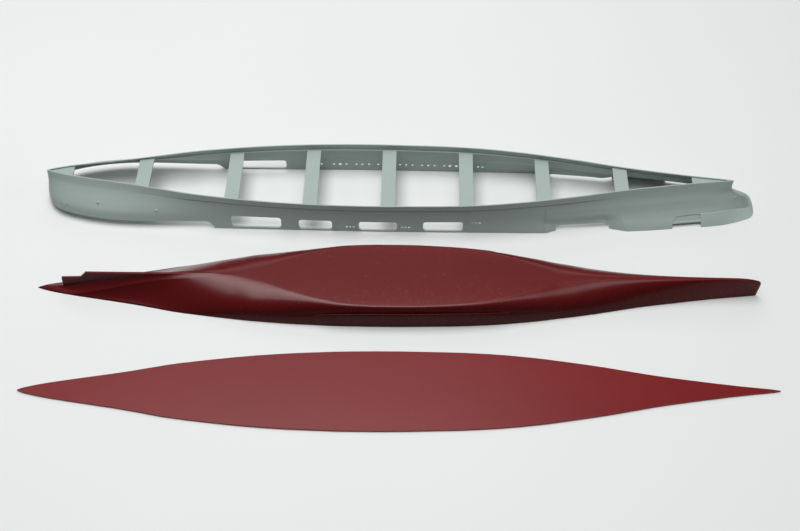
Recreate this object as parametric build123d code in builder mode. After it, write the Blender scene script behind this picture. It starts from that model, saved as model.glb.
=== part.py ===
from build123d import *
import math
import os

# Plastic ship-model hull set: three injection mouldings lying keel up, side by side.
# All sizes in millimetres. +X to the bow, +Z up, the set stands on Z = 0.

os.makedirs("parts", exist_ok=True)

# ---------------------------------------------------------------- driving sizes
UPPER_HEIGHT = 18.8          # deck edge on the table up to the waterline rim
LIP_FOOT_Z = 15.5            # where the raised waterline lip starts
LIP_THICKNESS = 0.6
LIP_OVERHANG = 0.35          # the lip stands proud of the side wall amidships
WALL_THICKNESS = 1.0
KNUCKLE_Z = 4.8              # crease in the flare above the deck edge
LOWER_DEPTH = 12.7           # waterline to flat bottom of the underwater hull
SKEG_TOP = 12.3
LOWER_WALL = 1.2
SKEG_THICKNESS = 1.1
PLATE_THICKNESS = 1.0
BAR_WIDTH = 7.3
BAR_THICKNESS = 1.0
PORTHOLE_RADIUS = 0.5
SLOT_CORNER = 2.6

# stern tips on the table and the small turn of each moulding
UPPER_X, UPPER_Y, UPPER_TURN = -185.50, 61.60, 0.0
LOWER_X, LOWER_Y, LOWER_TURN = -181.35, -2.28, 0.396
PLATE_X, PLATE_Y, PLATE_TURN = -178.37, -65.19, 1.127

# waterline outline: distance from the stern tip, half-breadth
WATERLINE = [
    (0, 0.0), (1.2, 0.62), (3, 1.3), (6, 2.15), (10, 3.15), (20, 5.15), (30, 6.9),
    (40, 8.6), (50, 10.4), (60, 12.45), (70, 14.6), (80, 16.2), (90, 17.6),
    (100, 18.85), (110, 19.95), (120, 20.8), (130, 21.5), (140, 21.95), (150, 22.4),
    (160, 22.55), (170, 22.65), (180, 22.6), (190, 22.4), (200, 22.15), (210, 21.85),
    (220, 21.3), (230, 20.55), (240, 19.45), (250, 18.15), (260, 16.5), (270, 14.85),
    (280, 13.0), (290, 10.95), (300, 8.9), (310, 7.15), (320, 5.6), (330, 4.05),
    (340, 2.65), (350, 1.45), (356, 0.75), (360.3, 0.0),
]

# matched rows of the upper hull: rim x, rim half-breadth, deck x, deck half-breadth
UPPER_ROWS = [
    (0, 0, -1.2, 0), (1.0, 0.55, -1.0, 3.2), (2.5, 1.1, -0.1, 6.2),
    (4.5, 1.75, 1.6, 9.3), (7, 2.4, 4.2, 12.2), (11, 3.4, 8.5, 14.9),
    (17, 4.65, 15, 17.2), (25, 6.05, 24, 19.4), (35, 7.75, 35, 21.1),
    (48, 10.05, 48, 22.0), (62, 12.85, 62, 22.2), (76, 15.6, 77, 22.2),
    (90, 17.6, 92, 22.2), (106, 19.5, 108, 22.3), (124, 21.1, 127, 22.45),
    (145, 22.2, 148, 22.65), (168, 22.65, 172, 22.8), (190, 22.4, 195, 22.75),
    (212, 21.8, 217, 22.55), (232, 20.4, 238, 22.4), (250, 18.15, 257, 22.2),
    (266, 15.5, 273, 21.8), (281, 12.8, 289, 21.1), (296, 9.7, 304, 20.0),
    (311, 7.0, 319, 18.7), (325, 4.8, 333, 17.0), (337, 3.05, 345, 15.1),
    (346.5, 1.85, 354.5, 13.45), (353, 1.05, 361.5, 11.5), (357, 0.5, 366.6, 9.5),
    (358.6, 0.25, 370.0, 7.6), (359.0, 0.1, 371.7, 4.6), (359.1, 0, 372.2, 0),
]
# the deck edge steps in between these stations: deck x, step
DECK_JOG = [(261.8, 0), (266.7, 1.8), (280, 2.0), (291, 2.2), (295.2, 2.5), (304.4, 0)]
JOG_STATIONS = [257.0, 259.5, 261.2, 262.2, 263.4, 264.8, 266.0, 267.0, 268.6, 272.0,
                277.0, 283.0, 289.0, 293.0, 294.8, 296.0, 298.0, 300.5, 302.8, 304.2,
                305.6, 308.5]

# height: blend from rim (0) to deck (1) at the stern, at the bow sides, at the stem,
# and how much of the side blend is left right at the nose
FLARE = [
    (0.0, 1.0, 1.0, 1.0, 1.0), (2.0, 1.0, 0.87, 0.955, 0.85),
    (4.1, 1.0, 0.70, 0.905, 0.72), (4.8, 0.98, 0.64, 0.885, 0.68),
    (7.0, 0.91, 0.49, 0.78, 0.5), (8.3, 0.84, 0.42, 0.66, 0.45),
    (9.5, 0.74, 0.36, 0.473, 0.45), (10.8, 0.62, 0.30, 0.25, 0.45),
    (12.0, 0.5, 0.235, 0.07, 0.5), (13.2, 0.38, 0.175, 0.0, 0.7),
    (15.5, 0.18, 0.09, -0.02, 1.0), (18.8, 0.0, 0.0, 0.0, 1.0),
]

# underwater hull: station, flat bottom half-breadth, roundness exponent
LOWER_FORM = [
    (0, 0.0, 0.7), (40, 0.0, 0.75), (60, 0.0, 0.85), (70, 0.0, 1.0), (80, 0.0, 1.2),
    (90, 0.3, 1.45), (100, 0.9, 1.7), (112, 3.4, 2.0), (127, 9.5, 2.0),
    (142, 15.0, 2.0), (157, 18.3, 2.1), (173, 19.3, 2.1), (188, 19.3, 2.1),
    (203, 18.5, 2.1), (219, 16.8, 2.0), (234, 13.0, 2.0), (249, 7.3, 2.0),
    (264, 1.8, 1.9), (279, 0.8, 1.65), (293, 0.7, 1.6), (308, 0.7, 1.6), (361, 0.5, 1.6),
]
LOWER_STERN = [(0, 0), (1.2, 9), (2.4, 15), (4, 22), (6.5, 33), (8.5, 43), (10.2, 53),
               (11.4, 62), (12.2, 72), (12.7, 84)]
LOWER_BOW = [(0, 360.6), (4, 361.0), (8.5, 361.4), (10.2, 361.0), (11.2, 360.0),
             (12.0, 357.5), (12.5, 353.5), (12.7, 350.0)]

BAR_STATIONS = [51.1, 98.1, 138.9, 179.3, 219.9, 260.0, 300.5]
BAR_TOPS = [17.6, 15.5, 15.5, 15.5, 15.5, 15.5, 17.6]
SHELF_TOP = 18.2
STERN_SHELF_END = 14.0
BOW_SHELF_START = 337.5

# start, end, bottom, top of the boat recesses
PORT_SLOTS = [(97.7, 123.8, 1.15, 7.8), (133.0, 150.3, 0.85, 7.0),
              (164.3, 184.1, 0.85, 6.8), (197.7, 218.4, 1.0, 7.1)]
STARBOARD_SLOTS = [(97.9, 123.2, 0.9, 7.5)]
PORT_PORTHOLES = [(157.9, 3.0), (159.7, 3.0), (161.5, 3.0), (186.8, 3.2), (188.6, 3.2),
                  (190.4, 3.2), (223.2, 6.3), (225.1, 6.3), (227.0, 6.3)]
STARBOARD_PORTHOLES = [(x, 4.4) for x in (
    142.3, 149.0, 152.3, 155.8, 161.2, 164.4, 168.0, 173.0, 184.8, 188.1, 191.5,
    196.7, 200.0, 203.5, 208.7, 211.8, 215.3, 227.0, 229.4)]


# ---------------------------------------------------------------- curve helpers
def table(rows, at, column=1):
    if at <= rows[0][0]:
        return rows[0][column]
    for low, high in zip(rows, rows[1:]):
        if at <= high[0]:
            share = (at - low[0]) / (high[0] - low[0])
            return low[column] + share * (high[column] - low[column])
    return rows[-1][column]


def smooth(share):
    share = max(0.0, min(1.0, share))
    return share * share * (3 - 2 * share)


def dense(points, steps=10):
    out = []
    last = len(points) - 1
    for i in range(last):
        p0, p1, p2, p3 = (points[max(i - 1, 0)], points[i], points[i + 1],
                          points[min(i + 2, last)])
        for k in range(steps):
            t = k / steps
            out.append(tuple(
                0.5 * (2 * b + (c - a) * t + (2 * a - 5 * b + 4 * c - d) * t * t
                       + (3 * b - a - 3 * c + d) * t ** 3)
                for a, b, c, d in zip(p0, p1, p2, p3)))
    out.append(points[last])
    return out


def inset(points, distance):
    """Moves a half outline (stern to bow, breadth positive) inwards and trims it."""
    curve = dense(points)
    moved = []
    for i, (x, y) in enumerate(curve):
        ax, ay = curve[max(i - 1, 0)]
        bx, by = curve[min(i + 1, len(curve) - 1)]
        dx, dy = bx - ax, by - ay
        length = math.hypot(dx, dy) or 1.0
        moved.append((x + dy / length * distance, y - dx / length * distance))
    middle = len(moved) // 2
    start = max((i for i in range(middle) if moved[i][1] <= 0.02), default=0)
    end = min((i for i in range(middle, len(moved)) if moved[i][1] <= 0.02),
              default=len(moved) - 1)
    kept = moved[start:end + 1]
    kept[0] = (kept[0][0], 0.0)
    kept[-1] = (kept[-1][0], 0.0)
    return kept


def resample(points, count):
    run = [0.0]
    for (ax, ay), (bx, by) in zip(points, points[1:]):
        run.append(run[-1] + math.hypot(bx - ax, by - ay))
    out = []
    j = 0
    for k in range(count):
        # closer together at both ends
        share = 0.5 - 0.5 * math.cos(math.pi * k / (count - 1))
        share = 0.6 * share + 0.4 * k / (count - 1)
        target = share * run[-1]
        while j < len(run) - 2 and run[j + 1] < target:
            j += 1
        step = (run[j + 1] - run[j]) or 1.0
        t = (target - run[j]) / step
        (ax, ay), (bx, by) = points[j], points[j + 1]
        out.append((ax + (bx - ax) * t, ay + (by - ay) * t))
    return out


def upper_rows():
    rows = sorted(dense(UPPER_ROWS), key=lambda row: row[2])
    base = [row for row in UPPER_ROWS if not 255 < row[2] < 311]
    extra = []
    for at in JOG_STATIONS:
        for low, high in zip(rows, rows[1:]):
            if low[2] <= at <= high[2] and high[2] > low[2]:
                t = (at - low[2]) / (high[2] - low[2])
                extra.append(tuple(a + (b - a) * t for a, b in zip(low, high)))
                break
    first = [row for row in base if row[2] < 255]
    return first + extra + [row for row in base if row[2] > 255]


UPPER_ALL = upper_rows()


def upper_outline(z, pull=0.0):
    stern, side, stem, nose = (table(FLARE, z, c) for c in (1, 2, 3, 4))
    jog_share = 1 - smooth((z - 3.0) / 5.0)
    out = []
    for rx, ry, dx, dy in UPPER_ALL:
        body = side + (stern - side) * (1 - smooth((rx - 20) / 140))
        along = body + (stem - body) * smooth((rx - 340) / 18)
        across = body * (1 - (1 - nose) * smooth((rx - 349) / 8))
        x, y = rx + (dx - rx) * along, ry + (dy - ry) * across
        if 261.8 < dx < 304.4:
            y -= table(DECK_JOG, dx) * jog_share
        if pull:
            y -= min(pull * smooth((rx - 55) / 25) * (1 - smooth((rx - 280) / 25)), y * 0.5)
        out.append((x, max(y, 0.0)))
    return out


def lower_half(x, z, depth, trim=0.0):
    breadth = table(WATERLINE, x) - trim
    flat = max(table(LOWER_FORM, x, 1) - trim * 0.3, 0.0)
    power = table(LOWER_FORM, x, 2)
    if breadth <= 0.05:
        return 0.0
    flat = min(flat, breadth)
    ratio = min(z / depth, 1.0) ** power
    return flat + (breadth - flat) * max(1 - ratio, 0.0) ** (1 / power)


def lower_outline(z):
    stern, bow = table(LOWER_STERN, z), table(LOWER_BOW, z)
    out = []
    count = 34
    for k in range(count + 1):
        share = 0.5 - 0.5 * math.cos(math.pi * k / count)
        share = 0.45 * share + 0.55 * k / count
        x = stern + (bow - stern) * share
        y = lower_half(x, z, LOWER_DEPTH)
        y = max(y, 0.45 * smooth((x - stern) / 20))
        if z > 0.5:
            y *= min(1.0, ((x - stern) / 14.0) ** 0.7) if x > stern else 0.0
        y *= min(1.0, max(0.0, (bow - x) / 2.5)) ** 0.5
        out.append((x, y))
    out[0], out[-1] = (stern, 0.0), (bow, 0.0)
    return out


def lower_inner(z):
    depth = LOWER_DEPTH - LOWER_WALL
    curve = []
    for k in range(721):
        x = k * 0.5
        y = min(lower_half(x, max(z, 0.0), depth, LOWER_WALL),
                lower_half(x, max(z, 0.0), LOWER_DEPTH) - 0.9)
        curve.append((x, y))
    good = [p for p in curve if p[1] >= 0.6 and 62 < p[0] < 349]
    first = next(i for i, p in enumerate(good)
                 if all(b[0] - a[0] < 0.6 for a, b in zip(good[i:i + 40], good[i + 1:i + 41])))
    good = good[first:]
    good = [(good[0][0] - 1.5, 0.0)] + good + [(good[-1][0] + 1.5, 0.0)]
    return resample(good, 30)


def place(x, y, turn, z):
    angle = math.radians(turn)
    return Plane(origin=(x, y, z), x_dir=(math.cos(angle), math.sin(angle), 0),
                 z_dir=(0, 0, 1))


def half_face(points, z, side):
    """Face between a half outline and the centreline; side -1 is port."""
    pts = [(x, side * y) for x, y in points]
    with BuildSketch(place(UPPER_X, UPPER_Y, UPPER_TURN, z)) as sk:
        with BuildLine():
            Spline(*pts)
            Line(pts[-1], pts[0])
        make_face()
    return sk.sketch


def half_void(points, z, side):
    """The same, carried past the centreline so that a cut goes through it."""
    pts = [(x, side * y) for x, y in points]
    with BuildSketch(place(UPPER_X, UPPER_Y, UPPER_TURN, z)) as sk:
        with BuildLine():
            Spline(*pts)
            Line(pts[-1], (pts[-1][0], -side * 2.0))
            Line((pts[-1][0], -side * 2.0), (pts[0][0], -side * 2.0))
            Line((pts[0][0], -side * 2.0), pts[0])
        make_face()
    return sk.sketch


def whole_face(points, x, y, turn, z):
    near = [(a, -b) for a, b in points]
    far = [(a, b) for a, b in reversed(points)]
    with BuildSketch(place(x, y, turn, z)) as sk:
        with BuildLine():
            Spline(*near)
            Spline(*far)
        make_face()
    return sk.sketch


def polygon(points, plane):
    with BuildSketch(plane) as sk:
        with BuildLine():
            Polyline(*points, close=True)
        make_face()
    return sk.sketch


BAND_LEVELS = [0.0, 2.0, KNUCKLE_Z]
FLARE_LEVELS = [KNUCKLE_Z, 7.0, 8.3, 9.5, 10.8, 12.0, 13.2, LIP_FOOT_Z]
VOID_LEVELS = [-0.5, 0.0, 2.0, KNUCKLE_Z, 7.0, 8.3, 9.5, 10.8, 12.0, 13.2, LIP_FOOT_Z,
               LIP_FOOT_Z + 0.5]
UPPER_INNER = {z: resample(inset(upper_outline(min(max(z, 0.0), LIP_FOOT_Z),
                                               LIP_OVERHANG), WALL_THICKNESS), 28)
               for z in VOID_LEVELS}
LIP_INNER = {z: resample(inset(upper_outline(z), LIP_THICKNESS), 28)
             for z in (LIP_FOOT_Z, UPPER_HEIGHT)}


def upper_z(z):
    return Plane(origin=(UPPER_X, UPPER_Y, z), x_dir=(1, 0, 0), z_dir=(0, 0, 1))


def side_plane(side):
    """Plane across the ship just outside one side, drawn in (station, height)."""
    return Plane(origin=(UPPER_X, UPPER_Y + side * 2.0, 0), x_dir=(1, 0, 0),
                 z_dir=(0, side, 0))


def flip(points, side):
    return [(x, z) for x, z in points] if side < 0 else [(x, -z) for x, z in points]


# deck edge cut-outs in (station, height), the same on both sides
STERN_RISE = [(-6, -2), (92, -2), (89.6, 0.1), (88.7, 0.9), (87.6, 2.2), (86.6, 3.4),
              (85.3, 4.0), (83.8, 4.1), (-6, 4.1)]
FORE_STEP = [(266.9, -1), (266.9, 2.9), (295.0, 2.9), (295.0, -1)]
BOW_STEP = [(328.0, -1), (328.0, 1.9), (343.2, 1.9), (343.2, -1)]
BOW_RECESS = [(328.0, 1.0), (328.0, KNUCKLE_Z - 0.1), (343.2, KNUCKLE_Z - 0.1), (343.2, 1.0)]
RECESS_DEPTH = 0.5


def wall_outline(z):
    return upper_outline(z, LIP_OVERHANG * smooth(z / 9))


def side_wall(side):
    wall_faces = [half_face(wall_outline(z), z, side) for z in BAND_LEVELS]
    flare_faces = [half_face(wall_outline(z), z, side) for z in FLARE_LEVELS]
    void_faces = [half_void(UPPER_INNER[z], z, side) for z in VOID_LEVELS]
    return wall_faces, flare_faces, void_faces


def recess_keep(side):
    """What the shallow recess by the bow leaves standing."""
    return [half_void(resample(inset(wall_outline(z), RECESS_DEPTH), 30), z, side)
            for z in BAND_LEVELS]


with BuildPart() as port_recess:
    extrude(polygon(flip(BOW_RECESS, -1), side_plane(-1)), amount=40)
    loft(sections=recess_keep(-1), ruled=True, mode=Mode.SUBTRACT)

with BuildPart() as starboard_recess:
    extrude(polygon(flip(BOW_RECESS, 1), side_plane(1)), amount=40)
    loft(sections=recess_keep(1), ruled=True, mode=Mode.SUBTRACT)

# ---------------------------------------------------------------- upper hull walls
band, flare, void = side_wall(-1)
with BuildPart() as port_side_wall:
    loft(sections=band, ruled=True)
    loft(sections=flare, ruled=True)
    loft(sections=void, ruled=True, mode=Mode.SUBTRACT)
    for cut in (STERN_RISE, FORE_STEP, BOW_STEP):
        extrude(polygon(flip(cut, -1), side_plane(-1)), amount=40, mode=Mode.SUBTRACT)
    add(port_recess.part, mode=Mode.SUBTRACT)
    for x0, x1, z0, z1 in PORT_SLOTS:
        with BuildSketch(side_plane(-1)):
            with Locations(((x0 + x1) / 2, (z0 + z1) / 2)):
                RectangleRounded(x1 - x0, z1 - z0, SLOT_CORNER)
        extrude(amount=40, mode=Mode.SUBTRACT)
    for x, z in PORT_PORTHOLES:
        with BuildSketch(side_plane(-1)):
            with Locations((x, z)):
                Circle(PORTHOLE_RADIUS)
        extrude(amount=40, mode=Mode.SUBTRACT)
port_side_wall.part.label = "port_side_wall"
export_step(port_side_wall.part, "parts/port_side_wall.step")

band, flare, void = side_wall(1)
with BuildPart() as starboard_side_wall:
    loft(sections=band, ruled=True)
    loft(sections=flare, ruled=True)
    loft(sections=void, ruled=True, mode=Mode.SUBTRACT)
    for cut in (STERN_RISE, FORE_STEP, BOW_STEP):
        extrude(polygon(flip(cut, 1), side_plane(1)), amount=40, mode=Mode.SUBTRACT)
    add(starboard_recess.part, mode=Mode.SUBTRACT)
    for x0, x1, z0, z1 in STARBOARD_SLOTS:
        with BuildSketch(side_plane(1)):
            with Locations(((x0 + x1) / 2, -(z0 + z1) / 2)):
                RectangleRounded(x1 - x0, z1 - z0, SLOT_CORNER)
        extrude(amount=40, mode=Mode.SUBTRACT)
    for x, z in STARBOARD_PORTHOLES:
        with BuildSketch(side_plane(1)):
            with Locations((x, -z)):
                Circle(PORTHOLE_RADIUS)
        extrude(amount=40, mode=Mode.SUBTRACT)
starboard_side_wall.part.label = "starboard_side_wall"
export_step(starboard_side_wall.part, "parts/starboard_side_wall.step")

# ---------------------------------------------------------------- waterline lips
LIP_Z = (LIP_FOOT_Z, UPPER_HEIGHT)
with BuildPart() as port_waterline_lip:
    loft(sections=[half_face(upper_outline(z), z, -1) for z in LIP_Z], ruled=True)
    loft(sections=[half_void(LIP_INNER[LIP_FOOT_Z], LIP_FOOT_Z - 0.0, -1),
                   half_void(LIP_INNER[UPPER_HEIGHT], UPPER_HEIGHT, -1)],
         ruled=True, mode=Mode.SUBTRACT)
port_waterline_lip.part.label = "port_waterline_lip"
export_step(port_waterline_lip.part, "parts/port_waterline_lip.step")

with BuildPart() as starboard_waterline_lip:
    loft(sections=[half_face(upper_outline(z), z, 1) for z in LIP_Z], ruled=True)
    loft(sections=[half_void(LIP_INNER[LIP_FOOT_Z], LIP_FOOT_Z, 1),
                   half_void(LIP_INNER[UPPER_HEIGHT], UPPER_HEIGHT, 1)],
         ruled=True, mode=Mode.SUBTRACT)
starboard_waterline_lip.part.label = "starboard_waterline_lip"
export_step(starboard_waterline_lip.part, "parts/starboard_waterline_lip.step")


# ---------------------------------------------------------------- shelves and crossbars
def lip_core():
    return [whole_face(LIP_INNER[z], UPPER_X, UPPER_Y, UPPER_TURN, z) for z in LIP_Z]


def wall_core():
    return [whole_face(UPPER_INNER[z], UPPER_X, UPPER_Y, UPPER_TURN, z)
            for z in VOID_LEVELS]


def strip(x0, x1):
    return polygon([(x0, -40), (x1, -40), (x1, 40), (x0, 40)], upper_z(0))


with BuildPart() as stern_shelf:
    loft(sections=lip_core(), ruled=True)
    with BuildSketch(upper_z(SHELF_TOP - BAR_THICKNESS)):
        with Locations((STERN_SHELF_END / 2 - 5, 0)):
            Rectangle(STERN_SHELF_END + 10, 80)
    extrude(amount=BAR_THICKNESS, mode=Mode.INTERSECT)
stern_shelf.part.label = "stern_shelf"
export_step(stern_shelf.part, "parts/stern_shelf.step")

with BuildPart() as bow_shelf:
    loft(sections=lip_core(), ruled=True)
    with BuildSketch(upper_z(SHELF_TOP - BAR_THICKNESS)):
        with Locations((BOW_SHELF_START + 20, 0)):
            Rectangle(40, 80)
    extrude(amount=BAR_THICKNESS, mode=Mode.INTERSECT)
bow_shelf.part.label = "bow_shelf"
export_step(bow_shelf.part, "parts/bow_shelf.step")

for number, (station, top) in enumerate(zip(BAR_STATIONS, BAR_TOPS), start=1):
    with BuildPart() as crossbar:
        if top > LIP_FOOT_Z:
            loft(sections=lip_core(), ruled=True)
        else:
            loft(sections=wall_core(), ruled=True)
        with BuildSketch(upper_z(top - BAR_THICKNESS)):
            with Locations((station, 0)):
                Rectangle(BAR_WIDTH, 80)
        extrude(amount=BAR_THICKNESS, mode=Mode.INTERSECT)
    crossbar.part.label = f"crossbar_{number}"
    export_step(crossbar.part, f"parts/crossbar_{number}.step")

# ---------------------------------------------------------------- underwater hull
LOWER_LEVELS = [0.0, 1.2, 2.4, 4.0, 5.5, 7.0, 8.5, 9.7, 10.7, 11.5, 12.1, 12.5, 12.7]
LOWER_VOIDS = [-0.5, 0.0, 2.4, 4.0, 5.5, 7.0, 8.5, 9.7, 10.6, 11.3]


def lower_body():
    return [whole_face(lower_outline(z), LOWER_X, LOWER_Y, LOWER_TURN, z)
            for z in LOWER_LEVELS]


with BuildPart() as lower_hull_shell:
    loft(sections=lower_body(), ruled=True)
    loft(sections=[whole_face(lower_inner(z), LOWER_X, LOWER_Y, LOWER_TURN, z)
                   for z in LOWER_VOIDS], ruled=True, mode=Mode.SUBTRACT)
lower_hull_shell.part.label = "lower_hull_shell"
export_step(lower_hull_shell.part, "parts/lower_hull_shell.step")

# the deadwood under the stern: a thin upright blade standing on the hull
SKEG_PROFILE = [(13.3, 0.4), (13.7, 8.3), (23.0, 8.7), (26.2, SKEG_TOP),
                (100, SKEG_TOP), (100, 0.4)]
with BuildPart() as stern_skeg:
    angle = math.radians(LOWER_TURN)
    across = Plane(origin=(LOWER_X, LOWER_Y, 0), x_dir=(math.cos(angle), math.sin(angle), 0),
                   z_dir=(math.sin(angle), -math.cos(angle), 0))
    extrude(polygon(SKEG_PROFILE, across), amount=SKEG_THICKNESS / 2, both=True)
    loft(sections=lower_body(), ruled=True, mode=Mode.SUBTRACT)
stern_skeg.part.label = "stern_skeg"
export_step(stern_skeg.part, "parts/stern_skeg.step")

# bilge keels: thin strips standing out of the turn of the bilge
KEEL_START, KEEL_END, KEEL_Z, KEEL_T, KEEL_OUT = 139.5, 237.5, 8.9, 0.6, 1.2


def bilge_keel_face(side):
    outer, root = [], []
    for k in range(25):
        x = KEEL_START + (KEEL_END - KEEL_START) * k / 24
        edge = min(smooth((x - KEEL_START + 2) / 9), smooth((KEEL_END - x + 2) / 9))
        half = lower_half(x, KEEL_Z, LOWER_DEPTH)
        outer.append((x, side * (half - 0.4 + (KEEL_OUT + 0.4) * edge)))
        root.append((x, side * (half - 2.2)))
    with BuildSketch(place(LOWER_X, LOWER_Y, LOWER_TURN, KEEL_Z)) as sk:
        with BuildLine():
            Spline(*outer)
            Line(outer[-1], root[-1])
            Spline(*reversed(root))
            Line(root[0], outer[0])
        make_face()
    return sk.sketch


with BuildPart() as port_bilge_keel:
    extrude(bilge_keel_face(-1), amount=KEEL_T)
    loft(sections=lower_body(), ruled=True, mode=Mode.SUBTRACT)
port_bilge_keel.part.label = "port_bilge_keel"
export_step(port_bilge_keel.part, "parts/port_bilge_keel.step")

with BuildPart() as starboard_bilge_keel:
    extrude(bilge_keel_face(1), amount=KEEL_T)
    loft(sections=lower_body(), ruled=True, mode=Mode.SUBTRACT)
starboard_bilge_keel.part.label = "starboard_bilge_keel"
export_step(starboard_bilge_keel.part, "parts/starboard_bilge_keel.step")

# ---------------------------------------------------------------- waterline plate
with BuildPart() as waterline_plate:
    extrude(whole_face(WATERLINE, PLATE_X, PLATE_Y, PLATE_TURN, 0), amount=PLATE_THICKNESS)
waterline_plate.part.label = "waterline_plate"
export_step(waterline_plate.part, "parts/waterline_plate.step")
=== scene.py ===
import bpy
import bmesh
import math
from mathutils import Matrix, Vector


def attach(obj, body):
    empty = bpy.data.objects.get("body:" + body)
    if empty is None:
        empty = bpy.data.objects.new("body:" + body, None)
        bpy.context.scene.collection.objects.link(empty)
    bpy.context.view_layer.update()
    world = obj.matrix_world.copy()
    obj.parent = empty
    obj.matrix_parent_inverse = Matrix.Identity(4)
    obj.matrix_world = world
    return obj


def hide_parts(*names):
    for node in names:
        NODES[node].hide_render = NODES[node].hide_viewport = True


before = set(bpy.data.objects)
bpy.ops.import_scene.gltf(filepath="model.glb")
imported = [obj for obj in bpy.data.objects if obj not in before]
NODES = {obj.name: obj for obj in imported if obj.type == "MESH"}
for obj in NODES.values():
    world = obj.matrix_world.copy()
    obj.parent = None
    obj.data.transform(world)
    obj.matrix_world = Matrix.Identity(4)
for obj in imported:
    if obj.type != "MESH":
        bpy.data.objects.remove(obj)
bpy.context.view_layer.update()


MM = 0.001

# ------------------------------------------------------------------ hull tables (mm)
UPPER_X, UPPER_Y = -185.50, 61.60
LOWER_X, LOWER_Y, LOWER_TURN = -181.35, -2.28, 0.396
PLATE_X, PLATE_Y, PLATE_TURN = -178.37, -65.19, 1.127
LOWER_DEPTH = 12.7
LOWER_WALL = 1.2

WATERLINE = [
    (0, 0.0), (1.2, 0.62), (3, 1.3), (6, 2.15), (10, 3.15), (20, 5.15), (30, 6.9),
    (40, 8.6), (50, 10.4), (60, 12.45), (70, 14.6), (80, 16.2), (90, 17.6),
    (100, 18.85), (110, 19.95), (120, 20.8), (130, 21.5), (140, 21.95), (150, 22.4),
    (160, 22.55), (170, 22.65), (180, 22.6), (190, 22.4), (200, 22.15), (210, 21.85),
    (220, 21.3), (230, 20.55), (240, 19.45), (250, 18.15), (260, 16.5), (270, 14.85),
    (280, 13.0), (290, 10.95), (300, 8.9), (310, 7.15), (320, 5.6), (330, 4.05),
    (340, 2.65), (350, 1.45), (356, 0.75), (360.3, 0.0),
]
LOWER_FORM = [
    (0, 0.0, 0.7), (40, 0.0, 0.75), (60, 0.0, 0.85), (70, 0.0, 1.0), (80, 0.0, 1.2),
    (90, 0.3, 1.45), (100, 0.9, 1.7), (112, 3.4, 2.0), (127, 9.5, 2.0),
    (142, 15.0, 2.0), (157, 18.3, 2.1), (173, 19.3, 2.1), (188, 19.3, 2.1),
    (203, 18.5, 2.1), (219, 16.8, 2.0), (234, 13.0, 2.0), (249, 7.3, 2.0),
    (264, 1.8, 1.9), (279, 0.8, 1.65), (293, 0.7, 1.6), (308, 0.7, 1.6), (361, 0.5, 1.6),
]
LOWER_STERN = [(0, 0), (1.2, 9), (2.4, 15), (4, 22), (6.5, 33), (8.5, 43), (10.2, 53),
               (11.4, 62), (12.2, 72), (12.7, 84)]
LOWER_BOW = [(0, 360.6), (4, 361.0), (8.5, 361.4), (10.2, 361.0), (11.2, 360.0),
             (12.0, 357.5), (12.5, 353.5), (12.7, 350.0)]


def curve_table(rows, column=1):
    """A smooth shape-keeping cubic through a table's rows."""
    xs = [r[0] for r in rows]
    ys = [r[column] for r in rows]
    d = [(ys[i + 1] - ys[i]) / (xs[i + 1] - xs[i]) for i in range(len(xs) - 1)]
    m = [d[0]]
    for i in range(1, len(xs) - 1):
        if d[i - 1] * d[i] <= 0:
            m.append(0.0)
        else:
            w1 = 2 * (xs[i + 1] - xs[i]) + (xs[i] - xs[i - 1])
            w2 = (xs[i + 1] - xs[i]) + 2 * (xs[i] - xs[i - 1])
            m.append((w1 + w2) / (w1 / d[i - 1] + w2 / d[i]))
    m.append(d[-1])

    def at(x):
        if x <= xs[0]:
            return ys[0]
        if x >= xs[-1]:
            return ys[-1]
        i = max(k for k in range(len(xs) - 1) if xs[k] <= x)
        h = xs[i + 1] - xs[i]
        t = (x - xs[i]) / h
        return ((1 + 2 * t) * (1 - t) ** 2 * ys[i] + t * (1 - t) ** 2 * h * m[i]
                + t * t * (3 - 2 * t) * ys[i + 1] + t * t * (t - 1) * h * m[i + 1])
    return at


def smooth(t):
    t = max(0.0, min(1.0, t))
    return t * t * (3 - 2 * t)


water = curve_table(WATERLINE)
flat_of = curve_table(LOWER_FORM, 1)
power_of = curve_table(LOWER_FORM, 2)
stern_of = curve_table(LOWER_STERN)
bow_of = curve_table(LOWER_BOW)


def hull_half(x, z, depth, trim=0.0):
    breadth = water(x) - trim
    if breadth <= 0.05:
        return 0.0
    flat = min(max(flat_of(x) - trim * 0.3, 0.0), breadth)
    power = power_of(x)
    ratio = min(z / depth, 1.0) ** power
    return flat + (breadth - flat) * max(1 - ratio, 0.0) ** (1 / power)


def hull_outline(z, count):
    stern, bow = stern_of(z), bow_of(z)
    out = []
    for k in range(count + 1):
        share = 0.5 - 0.5 * math.cos(math.pi * k / count)
        share = 0.4 * share + 0.6 * k / count
        x = stern + (bow - stern) * share
        y = hull_half(x, z, LOWER_DEPTH)
        y = max(y, 0.45 * smooth((x - stern) / 20))
        if z > 0.5:
            y *= min(1.0, ((x - stern) / 14.0) ** 0.7) if x > stern else 0.0
        y *= min(1.0, max(0.0, (bow - x) / 2.5)) ** 0.5
        out.append((x, y))
    return out


def placed(x, y, z, origin):
    ox, oy, turn = origin
    a = math.radians(turn)
    return Vector((ox + x * math.cos(a) - y * math.sin(a),
                   oy + x * math.sin(a) + y * math.cos(a), z)) * MM


LOWER = (LOWER_X, LOWER_Y, LOWER_TURN)
UPPER = (UPPER_X, UPPER_Y, 0.0)
PLATE = (PLATE_X, PLATE_Y, PLATE_TURN)


def link(name, bm, smooth_shade=True):
    bmesh.ops.recalc_face_normals(bm, faces=bm.faces)
    mesh = bpy.data.meshes.new(name)
    bm.to_mesh(mesh)
    bm.free()
    for p in mesh.polygons:
        p.use_smooth = smooth_shade
    ob = bpy.data.objects.new(name, mesh)
    bpy.context.scene.collection.objects.link(ob)
    return ob


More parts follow.
